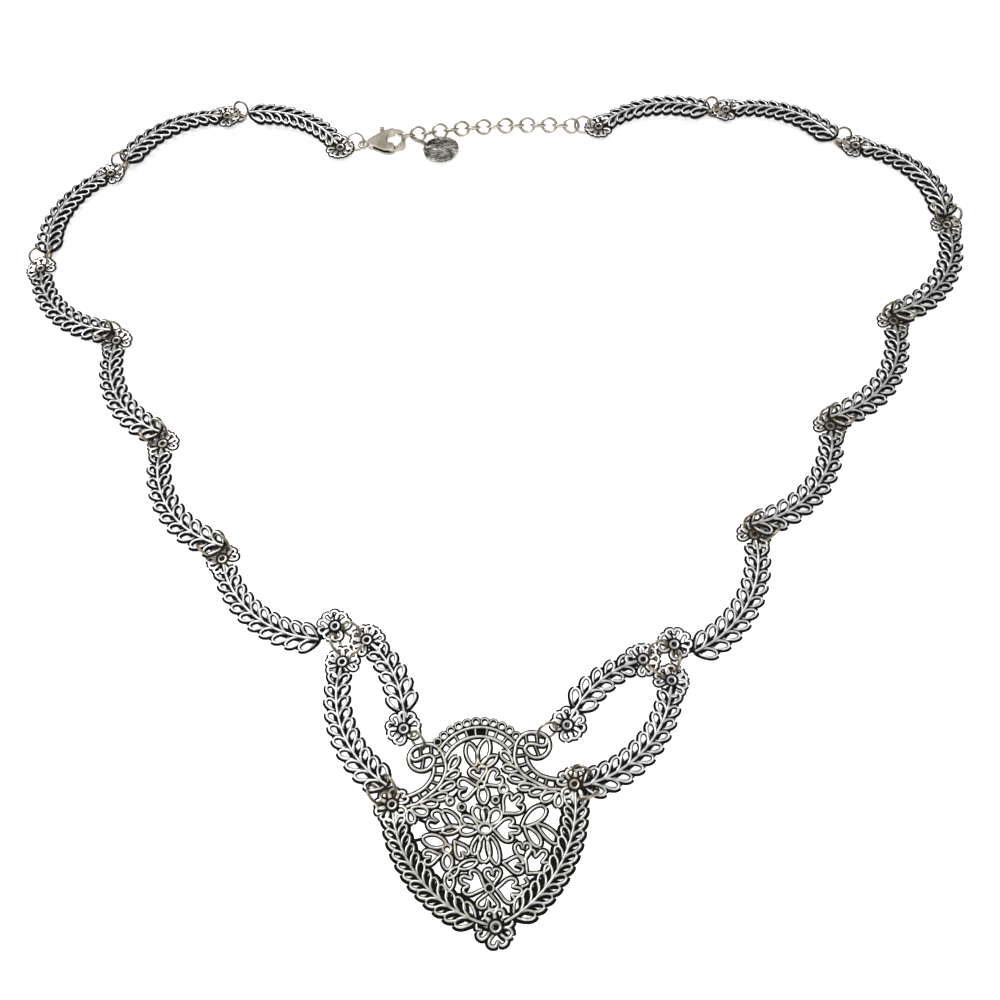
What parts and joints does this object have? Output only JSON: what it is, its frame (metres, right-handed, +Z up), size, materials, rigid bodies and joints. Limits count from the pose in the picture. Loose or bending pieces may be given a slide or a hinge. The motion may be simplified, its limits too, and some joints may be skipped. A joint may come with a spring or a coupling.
{
  "type": "filigree necklace",
  "caption": "Oxidised silver filigree necklace: curved leaf links on jump rings, two strands to an openwork floral pendant, trigger clasp with extension chain.",
  "frame": {"origin": "middle of the necklace as it lies, on the surface it rests on", "axes": "+Z up; the pendant points to -Y, the clasp is at +Y, +X to the right of the wearer's view from above"},
  "size_m": [0.1927, 0.1852, 0.0038],
  "materials": {
    "cast_silver": "oxidised silver, black recesses and bright worn ridges",
    "ring_silver": "silver wire, warm tarnish",
    "clasp_silver": "polished silver, light tarnish",
    "chain_silver": "silver wire links, light tarnish",
    "tag_silver": "oxidised silver, worn high spots"
  },
  "bodies": {
    "necklace": {"link_left_1": "cast_silver", "link_left_2": "cast_silver", "link_left_3": "cast_silver", "link_left_4": "cast_silver", "link_left_5": "cast_silver", "link_left_6": "cast_silver", "link_left_7": "cast_silver", "link_right_1": "cast_silver", "link_right_2": "cast_silver", "link_right_3": "cast_silver", "link_right_4": "cast_silver", "link_right_5": "cast_silver", "link_right_6": "cast_silver", "link_right_7": "cast_silver", "strand_outer_left": "cast_silver", "strand_outer_right": "cast_silver", "strand_inner_left": "cast_silver", "strand_inner_right": "cast_silver", "pendant": "cast_silver", "joint_rings_left_1": "ring_silver", "joint_rings_left_2": "ring_silver", "joint_rings_left_3": "ring_silver", "joint_rings_left_4": "ring_silver", "joint_rings_left_5": "ring_silver", "joint_rings_left_6": "ring_silver", "joint_rings_right_1": "ring_silver", "joint_rings_right_2": "ring_silver", "joint_rings_right_3": "ring_silver", "joint_rings_right_4": "ring_silver", "joint_rings_right_5": "ring_silver", "joint_rings_right_6": "ring_silver", "junction_rings_left": "ring_silver", "junction_rings_right": "ring_silver", "corner_rings_left": "ring_silver", "corner_rings_right": "ring_silver", "scroll_ring_left": "ring_silver", "scroll_ring_right": "ring_silver", "clasp_ring": "ring_silver", "hook_ring": "ring_silver", "chain_end_ring": "ring_silver", "tag_ring": "ring_silver", "clasp_body": "clasp_silver", "extension_chain": "chain_silver", "tag_disc": "tag_silver"},
    "clasp_lever": {"clasp_lever": "clasp_silver"}
  },
  "joints": [
    {"name": "clasp_lever_hinge", "type": "hinge", "parent": "necklace", "child": "clasp_lever", "pos_m": [-0.01839, 0.07504, 0.001], "axis": [0, 0, 1], "range_deg": [0, 7.5], "stiffness_Nm_per_rad": 0.0005}
  ]
}
